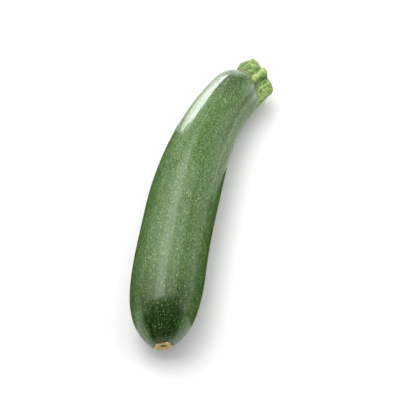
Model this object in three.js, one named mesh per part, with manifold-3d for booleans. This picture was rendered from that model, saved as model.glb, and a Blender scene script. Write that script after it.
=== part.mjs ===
// A courgette as picked: the fruit with its skin, the short five-ribbed stalk cut from the plant,
// and the corky scar that the flower left on the other end. It lies on its side on the plane Z = 0,
// with its length along Y, the stalk towards +Y, and its bend in the horizontal plane.
import * as THREE from "three";
import { mergeVertices } from "three/addons/utils/BufferGeometryUtils.js";
import Module from "manifold-3d";

// Driving dimensions of the fruit, in millimetres
const LENGTH = 191.6; // along the centre line, from the blossom end to the crown hidden in the stalk
const BELLY_RADIUS = 21;
const NECK_RADIUS = 16;
const TAPER_START = 0.444; // shares of LENGTH between which the belly narrows to the neck
const TAPER_END = 1.033;
const TIP_LENGTH = 48.2; // stretch over which the blossom end swells to the full girth
const TIP_OVERRUN = 1.39; // how far past the blossom end the swelling curve would close
const TIP_FULLNESS = 3.13;
const TIP_ROUNDNESS = 1.75;
const CROWN_LENGTH = 18.7; // stretch over which the shoulder rounds over under the stalk
const CROWN_ROUNDNESS = 2.49;
const FRUIT_START = 0.9; // where the skin stops short of the scar
const REST_DEPTH = 0.6; // how much of the round underside is flattened where it lies
const TIP_DROOP = 1; // how much lower the blossom end hangs than the belly
const BLOSSOM_END = new THREE.Vector3(14.84, -98.51, BELLY_RADIUS - REST_DEPTH);

// Heading of the centre line in degrees, from +Y towards +X
const HEADING_START = -13.5;
const HEADING_LINEAR = 10.6;
const HEADING_NECK = 32.8;
const HEADING_NECK_POWER = 4;
const TIP_TURN = 11.3; // extra turn at the blossom end, fading out over TIP_TURN_SHARE of LENGTH
const TIP_TURN_SHARE = 0.2;

// Soft lengthwise ribs of the skin, as shares of the radius
const RIB_COUNT = 5;
const RIB_ANGLE = 83; // degrees round the fruit, from the right flank towards the top
const RIB_NECK = 0.02;
const RIB_BELLY = 0.005;
const RIB_TIP = 0.008;
const RIB_NECK_FROM = 0.55;

// Driving dimensions of the stalk, in millimetres and degrees
const STALK_AT = 181.5; // place on the centre line where the foot's rim lies
const STALK_SHIFT = 2.6; // sideways, towards +X
const STALK_SINK = 1.7; // how much lower than the centre line the foot's middle lies
const STALK_CLIMB = 0.12; // rise of the stalk's own centre line for each millimetre along it
const STALK_HEADING = 36;
const STALK_LENGTH = 17.3;
const STALK_SKEW = 1.6; // how much further out the oblique cut lies at the broad lobe
const STALK_GROOVE_FOOT = 0.2; // depth of the grooves as shares of the ribs' radius
const STALK_GROOVE_CUT = 0.34;
const STALK_GROOVE_SHARPNESS = 1.3;
const STALK_GROOVE_AT = 47; // the groove here lies STALK_GROOVE_TURN degrees nearer the top
const STALK_GROOVE_TURN = 18;
const STALK_GROOVE_REACH = 35;
const STALK_MIDDLE = 9; // distance along the stalk of its lobes' middle
const BROAD_LOBE = { angle: 155, reach: 27, foot: -1.5, middle: 4.2, cut: 3 };
const LOW_RIB = { angle: 86, reach: 25, foot: -3.4, middle: -2, cut: 0.5 };
const LOWER_SPUR = { angle: -61, reach: 30, foot: 1.4, middle: 1.1, cut: 0 };
// lobes change the ribs' radius round their angle, by these amounts at the foot, middle and cut
const STALK_LOBES = [BROAD_LOBE, LOW_RIB, LOWER_SPUR];
// distance along the stalk from the foot's rim, and the ribs' radius there
const STALK_PROFILE = [
  [-7, 8.2],
  [-2.6, 12],
  [-0.5, 13.2],
  [1.6, 13.2],
  [5.5, 12.9],
  [12, 12.4],
  [STALK_LENGTH - 0.7, 12.1],
  [STALK_LENGTH, 11],
];
const CLEARANCE = 0.3; // kept between one piece and the next

// Driving dimensions of the blossom scar, in millimetres
const SCAR_RADIUS = 5.6;
const SCAR_WAVE = 0.05; // how far the five corners stand out, as a share of the radius
const SCAR_CORNER_ANGLE = 57; // degrees that the corners are turned by
// distance along the centre line, and the share of the radius there: back, edge, rim, hollow
const SCAR_PROFILE = [
  [0.6, 0.97],
  [0, 1],
  [-0.35, 0.93],
  [-0.5, 0.78],
  [-0.3, 0.5],
  [0.2, 0.2],
];
const SCAR_HOLLOW = 0.35; // distance along the centre line of the hollow's middle

// Fineness of the faceted solids
const SIDES = 60;
const TIP_RINGS = 16;
const BODY_RINGS = 20;
const CROWN_RINGS = 12;
const STALK_RINGS = 16;
const SCAR_SIDES = 30;
const CENTRE_STEPS = 600;

const UP = new THREE.Vector3(0, 0, 1);

function smooth(from, to, value) {
  return THREE.MathUtils.smoothstep(value, from, to);
}

// Heading at a share u of the length: a straight change, plus one that grows towards the neck
// with the fourth power, minus a turn that fades out just past the blossom end
function heading(u) {
  const fade = Math.max(0, 1 - u / TIP_TURN_SHARE);
  const degrees = HEADING_START + HEADING_LINEAR * u + HEADING_NECK * u ** HEADING_NECK_POWER
    - TIP_TURN * fade ** 2;
  return THREE.MathUtils.degToRad(degrees);
}

// Height of the centre line above the blossom end's: it sinks as the girth narrows to the neck,
// so that belly and neck rest on the same plane
function rise(u) {
  const fade = Math.max(0, 1 - u / TIP_TURN_SHARE);
  return -(BELLY_RADIUS - NECK_RADIUS) * smooth(TAPER_START, TAPER_END, u) - TIP_DROOP * fade ** 2;
}

// Points of the centre line, found by walking along the heading in small equal steps
const centreLine = [];
{
  const place = new THREE.Vector3(BLOSSOM_END.x, BLOSSOM_END.y, 0);
  const step = LENGTH / CENTRE_STEPS;
  for (let i = 0; i <= CENTRE_STEPS; i += 1) {
    centreLine.push(new THREE.Vector3(place.x, place.y, BLOSSOM_END.z + rise(i / CENTRE_STEPS)));
    const angle = heading((i + 0.5) / CENTRE_STEPS);
    place.x += Math.sin(angle) * step;
    place.y += Math.cos(angle) * step;
  }
}

// Point of the centre line at the distance s, continued straight past its ends
function centreAt(s) {
  const position = (s / LENGTH) * CENTRE_STEPS;
  const index = THREE.MathUtils.clamp(Math.floor(position), 0, CENTRE_STEPS - 1);
  return centreLine[index].clone().lerp(centreLine[index + 1], position - index);
}

function sideways(angle) {
  return new THREE.Vector3(Math.cos(angle), -Math.sin(angle), 0);
}

// Radius of the round fruit at the distance s: girth, times the rounding of the blossom end,
// times the rounding of the crown
function girth(s) {
  const u = s / LENGTH;
  const body = BELLY_RADIUS - (BELLY_RADIUS - NECK_RADIUS) * smooth(TAPER_START, TAPER_END, u);
  const tip = THREE.MathUtils.clamp((s + TIP_OVERRUN) / (TIP_LENGTH + TIP_OVERRUN), 0, 1);
  const blossomEnd = (1 - (1 - tip) ** TIP_FULLNESS) ** (1 / TIP_ROUNDNESS);
  const over = THREE.MathUtils.clamp((s - (LENGTH - CROWN_LENGTH)) / CROWN_LENGTH, 0, 1);
  const crown = (1 - over ** CROWN_ROUNDNESS) ** (1 / CROWN_ROUNDNESS);
  return body * blossomEnd * crown;
}

// Ribs swell the radius in a cosine round the fruit, most at the neck
function ribbing(s, turn) {
  const u = s / LENGTH;
  const depth = RIB_BELLY + (RIB_NECK - RIB_BELLY) * smooth(RIB_NECK_FROM, 1, u)
    + (RIB_TIP - RIB_BELLY) * (1 - smooth(0, TIP_TURN_SHARE, u));
  return 1 + depth * Math.cos(RIB_COUNT * (turn - THREE.MathUtils.degToRad(RIB_ANGLE)));
}

// One ring of the skin, grown outwards by an amount; what would lie below the ground lies on it
function skinRing(s, grown) {
  const centre = centreAt(s);
  const side = sideways(heading(s / LENGTH));
  const ring = [];
  for (let i = 0; i < SIDES; i += 1) {
    const turn = (i / SIDES) * 2 * Math.PI;
    const radius = girth(s) * ribbing(s, turn) + grown;
    const point = centre.clone();
    point.addScaledVector(side, radius * Math.cos(turn));
    point.addScaledVector(UP, radius * Math.sin(turn));
    point.z = Math.max(point.z, 0);
    ring.push(point);
  }
  return ring;
}

// A closed solid from rings of equally many points, its ends closed by fans round two centres
function solidFromRings(rings, firstCentre, lastCentre) {
  const sides = rings[0].length;
  const points = [...rings.flat(), firstCentre, lastCentre];
  const first = points.length - 2;
  const last = points.length - 1;
  const faces = [];
  for (let i = 0; i < sides; i += 1) {
    const next = (i + 1) % sides;
    for (let ring = 0; ring < rings.length - 1; ring += 1) {
      const low = ring * sides;
      const high = low + sides;
      faces.push(low + i, high + i, low + next);
      faces.push(low + next, high + i, high + next);
    }
    const top = (rings.length - 1) * sides;
    faces.push(first, i, next);
    faces.push(last, top + next, top + i);
  }
  const geometry = new THREE.BufferGeometry();
  const positions = points.flatMap((point) => point.toArray());
  geometry.setAttribute("position", new THREE.Float32BufferAttribute(positions, 3));
  geometry.setIndex(faces);
  return geometry;
}

// Distances of the fruit's rings: closer together where the ends round over
function ringDistances(from) {
  const distances = [];
  const crownStart = LENGTH - CROWN_LENGTH;
  for (let i = 0; i < TIP_RINGS; i += 1) {
    distances.push(from + (TIP_LENGTH - from) * (i / TIP_RINGS) ** 2);
  }
  for (let i = 0; i < BODY_RINGS; i += 1) {
    distances.push(TIP_LENGTH + (crownStart - TIP_LENGTH) * (i / BODY_RINGS));
  }
  for (let i = 0; i < CROWN_RINGS; i += 1) {
    distances.push(crownStart + CROWN_LENGTH * Math.sin((i / CROWN_RINGS) * (Math.PI / 2)));
  }
  return distances;
}

function fruitGeometry(grown) {
  const rings = ringDistances(FRUIT_START).map((s) => skinRing(s, grown));
  const crown = centreAt(LENGTH);
  crown.addScaledVector(new THREE.Vector3(Math.sin(heading(1)), Math.cos(heading(1)), 0), grown);
  return solidFromRings(rings, centreAt(FRUIT_START), crown);
}

// A bell curve round the stalk: 1 at an angle in degrees, fading out over a reach on both sides
function bell(turn, angle, reach) {
  const away = THREE.MathUtils.euclideanModulo(THREE.MathUtils.radToDeg(turn) - angle + 180, 360) - 180;
  return Math.exp(-((away / reach) ** 2));
}

// How much further out a lobe stands at a distance along the stalk
function lobeAt(lobe, distance) {
  const opening = (lobe.middle - lobe.foot) * smooth(0, STALK_MIDDLE, distance);
  const closing = (lobe.cut - lobe.middle) * smooth(STALK_MIDDLE, STALK_LENGTH, distance);
  return lobe.foot + opening + closing;
}

// Radius of the stalk: the ribs' radius, less the groove's depth times a power of a squared sine
// with five valleys, plus its lobes
function stalkRadius(ribs, distance, turn) {
  const depth = STALK_GROOVE_FOOT
    + (STALK_GROOVE_CUT - STALK_GROOVE_FOOT) * smooth(0, STALK_LENGTH, distance);
  const shifted = STALK_GROOVE_TURN * bell(turn, STALK_GROOVE_AT, STALK_GROOVE_REACH);
  const fromRib = turn - THREE.MathUtils.degToRad(RIB_ANGLE + shifted);
  const valley = Math.abs(Math.sin((RIB_COUNT / 2) * fromRib)) ** (2 * STALK_GROOVE_SHARPNESS);
  const lobes = STALK_LOBES.reduce((sum, lobe) => (
    sum + lobeAt(lobe, distance) * bell(turn, lobe.angle, lobe.reach)
  ), 0);
  return ribs * (1 - depth * valley) + lobes;
}

// Stalk: a ribbed column that comes out of the shoulder, climbs a little and ends in an oblique cut
function stalkGeometry() {
  const stations = STALK_PROFILE.map(([distance, radius]) => new THREE.Vector2(distance, radius));
  const curve = new THREE.SplineCurve(stations);
  const angle = THREE.MathUtils.degToRad(STALK_HEADING);
  const along = new THREE.Vector3(Math.sin(angle), Math.cos(angle), STALK_CLIMB);
  const side = sideways(angle);
  const foot = centreAt(STALK_AT).addScaledVector(side, STALK_SHIFT).addScaledVector(UP, -STALK_SINK);
  const skewAngle = THREE.MathUtils.degToRad(BROAD_LOBE.angle);
  const rings = [];
  for (let k = 0; k <= STALK_RINGS; k += 1) {
    const station = curve.getPoint(k / STALK_RINGS);
    const skew = STALK_SKEW * Math.max(station.x / STALK_LENGTH, 0);
    const ring = [];
    for (let i = 0; i < SIDES; i += 1) {
      const turn = (i / SIDES) * 2 * Math.PI;
      const radius = stalkRadius(station.y, station.x, turn);
      const point = foot.clone().addScaledVector(along, station.x + skew * Math.cos(turn - skewAngle));
      point.addScaledVector(side, radius * Math.cos(turn));
      point.addScaledVector(UP, radius * Math.sin(turn));
      ring.push(point);
    }
    rings.push(ring);
  }
  const bottom = foot.clone().addScaledVector(along, STALK_PROFILE[0][0]);
  const cut = foot.clone().addScaledVector(along, STALK_LENGTH);
  return solidFromRings(rings, bottom, cut);
}

// Blossom scar: a thin corky disc with five blunt corners, a raised rim and a hollow middle
function scarGeometry() {
  const side = sideways(heading(0));
  const rings = SCAR_PROFILE.map(([s, share]) => {
    const centre = centreAt(s);
    const ring = [];
    for (let i = 0; i < SCAR_SIDES; i += 1) {
      const turn = (i / SCAR_SIDES) * 2 * Math.PI;
      const fromCorner = turn + THREE.MathUtils.degToRad(SCAR_CORNER_ANGLE / RIB_COUNT);
      const corners = 1 + SCAR_WAVE * Math.cos(RIB_COUNT * fromCorner);
      const point = centre.clone();
      point.addScaledVector(side, SCAR_RADIUS * share * corners * Math.cos(turn));
      point.addScaledVector(UP, SCAR_RADIUS * share * corners * Math.sin(turn));
      ring.push(point);
    }
    return ring;
  });
  rings.reverse();
  return solidFromRings(rings, centreAt(SCAR_HOLLOW), centreAt(SCAR_PROFILE[0][0]));
}

const wasm = await Module();
wasm.setup();

function toManifold(geometry) {
  const merged = mergeVertices(geometry);
  return new wasm.Manifold(new wasm.Mesh({
    numProp: 3,
    vertProperties: new Float32Array(merged.attributes.position.array),
    triVerts: new Uint32Array(merged.index.array),
  }));
}

function toGeometry(manifold) {
  const mesh = manifold.getMesh();
  const geometry = new THREE.BufferGeometry();
  geometry.setAttribute("position", new THREE.BufferAttribute(new Float32Array(mesh.vertProperties), 3));
  geometry.setIndex([...mesh.triVerts]);
  return geometry;
}

function piece(name, geometry, material) {
  geometry.computeVertexNormals();
  const mesh = new THREE.Mesh(geometry, new THREE.MeshStandardMaterial(material));
  mesh.name = name;
  return mesh;
}

// The stalk's foot is hollowed by the fruit, grown by the clearance, so that it sits on the shoulder
const stalk = toManifold(stalkGeometry()).subtract(toManifold(fruitGeometry(CLEARANCE)));

const group = new THREE.Group();
group.add(piece("fruit", fruitGeometry(0), { color: 0x3d5f2b, roughness: 0.35, metalness: 0 }));
group.add(piece("stalk", toGeometry(stalk), { color: 0x8fa84e, roughness: 0.6, metalness: 0 }));
group.add(piece("blossom_scar", scarGeometry(), { color: 0xc8b184, roughness: 0.85, metalness: 0 }));

export default group;
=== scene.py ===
"""Finishes a courgette that lies on its side: waxy flecked skin, ribbed cut stalk and corky blossom scar.

Lengths are in metres. The fruit is a round body carried along a bent centre line. A place on it is given
by s, the distance along the centre line from the blossom end, and turn, the angle round it in radians,
from the right flank over the top.
"""

import math

import bpy
import numpy as np
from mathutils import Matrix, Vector


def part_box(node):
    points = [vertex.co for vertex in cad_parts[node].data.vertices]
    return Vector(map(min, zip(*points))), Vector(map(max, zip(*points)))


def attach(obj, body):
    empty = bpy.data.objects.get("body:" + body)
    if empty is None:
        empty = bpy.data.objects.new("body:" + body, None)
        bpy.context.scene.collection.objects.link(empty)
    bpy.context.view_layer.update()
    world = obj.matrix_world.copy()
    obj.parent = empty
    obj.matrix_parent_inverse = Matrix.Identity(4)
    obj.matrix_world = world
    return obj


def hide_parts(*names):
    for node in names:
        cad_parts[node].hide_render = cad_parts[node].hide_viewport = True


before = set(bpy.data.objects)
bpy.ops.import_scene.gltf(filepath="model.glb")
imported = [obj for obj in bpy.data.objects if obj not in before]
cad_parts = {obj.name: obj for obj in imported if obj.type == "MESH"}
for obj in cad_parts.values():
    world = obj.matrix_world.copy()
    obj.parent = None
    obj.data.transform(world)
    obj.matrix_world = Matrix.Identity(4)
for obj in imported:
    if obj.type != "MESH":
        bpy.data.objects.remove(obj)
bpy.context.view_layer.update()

bl_info = {
    "name": "Courgette",
    "version": (1, 0, 0),
    "blender": (4, 5, 0),
    "location": "View3D > Sidebar > Courgette",
    "description": "Builds a courgette with its stalk and blossom scar, and a plain studio round it",
    "category": "Add Mesh",
}

MM = 0.001
UP = np.array([0.0, 0.0, 1.0])

# Shape of the fruit that its sizes don't change
TAPER = (0.444, 1.033)  # shares of the length between which the belly narrows to the neck
TIP_LENGTH = 48.2 * MM
TIP_OVERRUN = 1.39 * MM
TIP_FULLNESS = 3.13
TIP_ROUNDNESS = 1.75
CROWN_LENGTH = 18.7 * MM
CROWN_ROUNDNESS = 2.49
TIP_DROOP = 1.0 * MM
TIP_TURN_SHARE = 0.2
NECK_POWER = 4
CENTRE_STEPS = 600

# Ribs of the fruit, in step with the stalk's
RIB_COUNT = 5
RIB_ANGLE = math.radians(83)
RIB_NECK = 0.02
RIB_BELLY = 0.005
RIB_TIP = 0.008
RIB_NECK_FROM = 0.55

# Place and outline of the stalk: distance along it from the foot's rim, and its ribs' radius there
STALK_AT = 181.5 * MM
STALK_SHIFT = 2.6 * MM
STALK_SINK = 1.7 * MM
STALK_CLIMB = 0.12  # rise of the stalk's own centre line for each metre along it
STALK_HEADING = math.radians(36)
STALK_SKEW = 1.6 * MM  # how much further out the oblique cut lies at the broad lobe
STALK_OUTLINE = ((-7, 8.2), (-2.6, 12.0), (-0.5, 13.2), (1.6, 13.2), (5.5, 12.9), (12, 12.4), (17.3, 12.1))
GROOVE_AT, GROOVE_TURN, GROOVE_REACH = 47, 18, 35  # degrees: one groove lies nearer the top by its turn
STALK_MIDDLE = 9 * MM
BROAD_LOBE_ANGLE = 155
# lobes of the stalk: angle and reach in degrees, and how far they stand out at the foot, middle and cut
STALK_LOBES = ((155, 27, -1.5, 4.2, 3.0), (86, 25, -3.4, -2.0, 0.5), (-61, 30, 1.4, 1.1, 0.0))

STALK_TOP_INSET = 0.65 * MM
GROOVE_SHARPNESS = 2.6
CREST_BREADTH = 1.4
CUT_RIM = 0.045  # share of the cut face over which its rim rounds over
CUT_RISE, CUT_HOLLOW, CUT_MIDDLE, CUT_MARKS = 0.5 * MM, 0.9 * MM, 0.5 * MM, 0.07 * MM

# Relief of the skin: how high or deep its forms are, and where the neck's crease and its groove lie
DENTS, LINES, CREASE, SHOULDER_RIDGES, TIP_FURROWS = 0.06 * MM, 0.03 * MM, 0.13 * MM, 0.35 * MM, 0.10 * MM
SKIN_INSET = 0.16 * MM  # keeps the relief inside the solid's box
CREASE_ANGLE, CREASE_GROOVE_ANGLE = math.radians(34), math.radians(43)

# The scar: share of the way in over which its rim rounds, and its forms in millimetres
SCAR_RIM = 0.16
SCAR_SWELL, SCAR_DIP, SCAR_HOLLOW, SCAR_RIDGES, SCAR_CRUMBS = 0.68, 0.55, 0.85, 0.22, 0.05
SCAR_SEAT, SCAR_BACK, SCAR_MIDDLE = 0.55, 0.9 * MM, 1.0 * MM

# Fineness of the surfaces
FRUIT_SIDES = 256
FRUIT_START = 0.9 * MM  # place of the first ring, under the scar
TIP_RINGS, BODY_RINGS, CROWN_RINGS = 76, 190, 70
STALK_SIDES, STALK_RINGS, CUT_RINGS = 400, 90, 44
SCAR_SIDES, SCAR_RINGS = 200, 60
COARSE_RINGS, COARSE_SIDES = (16, 20, 12), 60  # for the fruit's own box
SHOULDER_FROM, SHOULDER_STEPS = 0.8, 120  # share of the length where the stalk's foot is looked for

# Fixed colours of the finishes
TIP_FLECK = (0.30, 0.50, 0.17)
# Painted bounce light: the yellow-green that the lower flanks take on as if lit by green light bounced from
# beside them
LOW_FLANK_BOUNCE = (0.062, 0.125, 0.003)
SCAR_SURROUND = (0.10, 0.15, 0.08)
PALE_FIBRE, STALK_DOT = (0.55, 0.64, 0.33), (0.66, 0.74, 0.46)
CORKY_FOOT, DRY_END = (0.24, 0.17, 0.075), (0.42, 0.44, 0.20)
PITH_GRAIN, PITH_BUNDLE, PITH_MIDDLE = (0.38, 0.47, 0.18), (0.16, 0.22, 0.05), (0.68, 0.66, 0.45)
PALE_CORK, RUST, RIDGE_CORK = (0.86, 0.73, 0.37), (0.42, 0.19, 0.05), (0.85, 0.74, 0.5)
SCAR_RIM_BROWN, SCAR_MIDDLE_BROWN = (0.13, 0.10, 0.03), (0.16, 0.07, 0.02)

# Where the skin changes: ranges of the angle round it in radians, and of the share of its length
# The first two ranges bound the painted shade on the top of the blossom end, which faces away from the lights
TIP_SHADE_LEFT, TIP_SHADE_RIGHT = (2.40, 2.16), (0.70, 0.92)
# Painted shade along the groove beside the neck's crease: its angle and half width
FURROW_SHADE_ANGLE, FURROW_SHADE_WIDTH = 0.745, 0.13
BLOOM_PATCH = (-0.002, 0.012, 0.183)  # middle of the wax patch on the shoulder, on the unbent body

# Studio. A place is how far ahead of the camera's line, to its right, and up. Overhead softboxes: name,
# place, size, and brightness as a share of the top light
FLOOR_HALF = 4.0
OVERHEAD = (("overhead_left", (0.545, -0.775, 0.9), (1.35, 1.41), 1.06),
            ("overhead_right", (0.26, 0.325, 0.9), (0.85, 0.84), 1.06),
            ("overhead_core", (0.4, -0.27, 0.88), (0.5, 1.1), 1.6))
# Walls: name, place, the place they face, size, and brightness as a share of the walls' setting
WALLS = (("back_wall", (1.6, 0, 0.55), (0, 0, 0.55), (3.2, 1.1), 0.3),
         ("left_wall", (0.5, -1.6, 0.55), (0.5, 0, 0.55), (2.2, 1.1), 0.9),
         ("right_wall", (0.54, 1.6, 0.55), (0.54, 0, 0.55), (2.12, 1.1), 1.0))
# Fill lamps, which show in no reflection: the same, with shares of the fill
FILLS = (("floor_fill", (0.2, 0.9, 0.8), (0.1, 0.2, 0), (1.0, 1.0), 1.0),
         ("front_fill", (-0.9, -0.1, 0.8), (-0.1, 0, 0), (1.0, 1.0), 0.7))

# Cards that show only in reflections, with the two tones of each kind
DARK = ((0.02, 0.045, 0.01), (0.03, 0.06, 0.015))
GREY = ((0.60, 0.62, 0.60), (0.66, 0.68, 0.66))
PALE = ((0.95, 0.97, 0.95), (1.0, 1.0, 1.0))
CARD_LEVEL = 0.5 * MM
# Flags along the sides: name, inner and outer x, nearer and further y, and height
STANDING_FLAGS = (("left_flag", -0.015, -0.055, -0.103, 0.057, 0.037),
                  ("right_flag", 0.0, 0.062, -0.077, 0.032, 0.028))
# Flat cards: name, corners, tones and glow
FLAT_CARDS = (
    ("front_flag", ((-0.09, -0.27), (-0.01, -0.14), (0.05, -0.135), (0.11, -0.115), (0.145, -0.09),
                    (0.45, -0.12), (0.45, -0.6), (-0.15, -0.6)), DARK, 0.0),
    ("right_card", ((0.024, 0.036), (0.30, 0.036), (0.30, 0.11), (0.02, 0.11), (0.02, 0.095)), GREY, 0.0),
    ("far_right_card", ((0.02, 0.11), (0.30, 0.11), (0.60, 0.60), (0.08, 0.40), (0.02, 0.14)), PALE, 0.9),
    ("back_card", ((-0.082, 0.150), (-0.084, 0.104), (-0.108, 0.080), (-0.19, 0.118), (-0.40, 0.25),
                   (-0.99, 0.70), (-0.55, 1.15)), PALE, 3.9),
    ("back_flag", ((-0.055, 0.068), (-0.055, 0.125), (-0.081, 0.140), (-0.083, 0.104), (-0.105, 0.080)),
     DARK, 0.0))
# The glowing strip whose reflection is the white streak on the neck: its distance, and its corners as
# degrees to the right and degrees up
STREAK_AWAY = 1.4
STREAK_OUTLINE = ((-37, -0.5), (-37, 1.5), (-31, 3), (-25.5, 10.5), (-20, 8.5), (-11, 3.5), (-11, -0.5))


class FruitSize(bpy.types.PropertyGroup):
    """Sizes of the fruit, as the solids have them"""

    length: bpy.props.FloatProperty(
        name="Length", description="Along the centre line, from the blossom end to the crown under the stalk",
        default=191.6 * MM, unit="LENGTH")
    belly_radius: bpy.props.FloatProperty(
        name="Belly radius", description="Radius where the fruit is thickest", default=21 * MM, unit="LENGTH")
    neck_radius: bpy.props.FloatProperty(
        name="Neck radius", description="Radius next to the stalk", default=16 * MM, unit="LENGTH")
    rest_depth: bpy.props.FloatProperty(
        name="Rest depth", description="How much of the underside is pressed flat", default=0.6 * MM,
        unit="LENGTH")
    heading_start: bpy.props.FloatProperty(
        name="Heading", description="Direction of the centre line at the blossom end",
        default=math.radians(-13.5), subtype="ANGLE")
    heading_linear: bpy.props.FloatProperty(
        name="Even bend", description="Turn spread evenly along the fruit",
        default=math.radians(10.6), subtype="ANGLE")
    heading_neck: bpy.props.FloatProperty(
        name="Neck bend", description="Turn that gathers towards the neck",
        default=math.radians(32.8), subtype="ANGLE")
    tip_turn: bpy.props.FloatProperty(
        name="Tip bend", description="Turn of the blossom end", default=math.radians(11.3), subtype="ANGLE")


class SkinLook(bpy.types.PropertyGroup):
    """Colours and gloss of the fruit's skin"""

    # The dark green at the blossom end is partly the skin's own deeper green and partly painted shade
    dark: bpy.props.FloatVectorProperty(
        name="Dark green", description="Ground colour at the blossom end", default=(0.003, 0.024, 0.001),
        size=3, subtype="COLOR")
    middle: bpy.props.FloatVectorProperty(
        name="Middle green", description="Ground colour of the belly", default=(0.039, 0.104, 0.009),
        size=3, subtype="COLOR")
    neck: bpy.props.FloatVectorProperty(
        name="Neck green", description="Ground colour towards the stalk", default=(0.077, 0.158, 0.039),
        size=3, subtype="COLOR")
    fleck: bpy.props.FloatVectorProperty(
        name="Fleck", description="Colour of the pale flecks", default=(0.36, 0.48, 0.25),
        size=3, subtype="COLOR")
    # Pale grey that is wax bloom in the patch by the stalk and painted sheen on the neck's right flank and
    # shoulder
    bloom_and_sheen: bpy.props.FloatVectorProperty(
        name="Bloom", description="Colour of the wax bloom by the stalk", default=(0.26, 0.34, 0.26),
        size=3, subtype="COLOR")
    fleck_size: bpy.props.FloatProperty(
        name="Fleck spacing", description="Distance between the largest flecks", default=1.15 * MM,
        unit="LENGTH")
    fleck_tip: bpy.props.FloatProperty(
        name="Flecks at the tip", description="Share of the fine flecks left at the blossom end",
        default=0.48, min=0, max=1, subtype="FACTOR")
    roughness: bpy.props.FloatProperty(
        name="Roughness", description="Roughness of the skin under its wax", default=0.35, min=0, max=1,
        subtype="FACTOR")


class StalkLook(bpy.types.PropertyGroup):
    """Sizes and colours of the stalk"""

    length: bpy.props.FloatProperty(
        name="Length", description="From the foot's rim to the cut", default=17.3 * MM, unit="LENGTH")
    groove_foot: bpy.props.FloatProperty(
        name="Groove at the foot", description="Depth of the grooves as a share of the radius", default=0.2,
        min=0, max=0.6, subtype="FACTOR")
    groove_cut: bpy.props.FloatProperty(
        name="Groove at the cut", description="Depth of the grooves as a share of the radius", default=0.34,
        min=0, max=0.6, subtype="FACTOR")
    crest: bpy.props.FloatVectorProperty(
        name="Crest", description="Colour of the ribs' crests", default=(0.39, 0.52, 0.17), size=3,
        subtype="COLOR")
    flank: bpy.props.FloatVectorProperty(
        name="Flank", description="Colour of the ribs' flanks", default=(0.19, 0.33, 0.065), size=3,
        subtype="COLOR")
    groove: bpy.props.FloatVectorProperty(
        name="Groove", description="Colour deep in the grooves", default=(0.07, 0.16, 0.030), size=3,
        subtype="COLOR")
    pith: bpy.props.FloatVectorProperty(
        name="Pith", description="Colour of the cut face", default=(0.55, 0.62, 0.33), size=3,
        subtype="COLOR")


class ScarLook(bpy.types.PropertyGroup):
    """Sizes and colours of the blossom scar"""

    radius: bpy.props.FloatProperty(
        name="Radius", description="Radius of the corky disc", default=5.6 * MM, unit="LENGTH")
    cork: bpy.props.FloatVectorProperty(
        name="Cork", description="Colour of the dry tissue", default=(0.66, 0.47, 0.18), size=3,
        subtype="COLOR")
    edge: bpy.props.FloatVectorProperty(
        name="Edge", description="Colour of the darker edge and furrows", default=(0.22, 0.13, 0.05), size=3,
        subtype="COLOR")


class StudioSettings(bpy.types.PropertyGroup):
    """Camera and light"""

    azimuth: bpy.props.FloatProperty(
        name="Azimuth", description="Camera's turn round the object", default=math.radians(18.8),
        subtype="ANGLE")
    elevation: bpy.props.FloatProperty(
        name="Elevation", description="Camera's height angle", default=math.radians(62), subtype="ANGLE")
    distance: bpy.props.FloatProperty(
        name="Distance", description="From the camera to the point it looks at", default=0.6, unit="LENGTH")
    lens: bpy.props.FloatProperty(
        name="Lens", description="Focal length for a sensor 36 mm wide", default=90.92)
    target: bpy.props.FloatVectorProperty(
        name="Target", description="Point that the camera looks at",
        default=(4.68 * MM, -5.53 * MM, 20 * MM), size=3, subtype="TRANSLATION")
    top_light: bpy.props.FloatProperty(
        name="Top light", description="Brightness of the large softbox overhead", default=1.7, min=0)
    back_light: bpy.props.FloatProperty(
        name="Back light", description="Brightness of the streak on the neck", default=11.5, min=0)
    walls: bpy.props.FloatProperty(
        name="Walls", description="Brightness of the pale walls on both sides and behind", default=0.9, min=0)
    fill: bpy.props.FloatProperty(
        name="Floor fill", description="Brightness of a lamp that shows in no reflection", default=1.1, min=0)
    surround: bpy.props.FloatProperty(
        name="Surround", description="Brightness of the room", default=0.05, min=0)


class Courgette(bpy.types.PropertyGroup):
    """All settings of the courgette and its studio"""

    fruit: bpy.props.PointerProperty(type=FruitSize, name="Fruit", description="Sizes of the fruit")
    skin: bpy.props.PointerProperty(type=SkinLook, name="Skin", description="Look of the skin")
    stalk: bpy.props.PointerProperty(type=StalkLook, name="Stalk", description="The stalk")
    scar: bpy.props.PointerProperty(type=ScarLook, name="Scar", description="The blossom scar")
    studio: bpy.props.PointerProperty(type=StudioSettings, name="Studio", description="Camera and light")


def smooth(low, high, value):
    """Rises from 0 at low to 1 at high along 3t^2 - 2t^3."""
    t = np.clip((value - low) / (high - low), 0, 1)
    return t * t * (3 - 2 * t)


def bell(value, width):
    """Falls from 1 at 0 on both sides, as exp(-(value / width)^2)."""
    return np.exp(-((value / width) ** 2))


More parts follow.
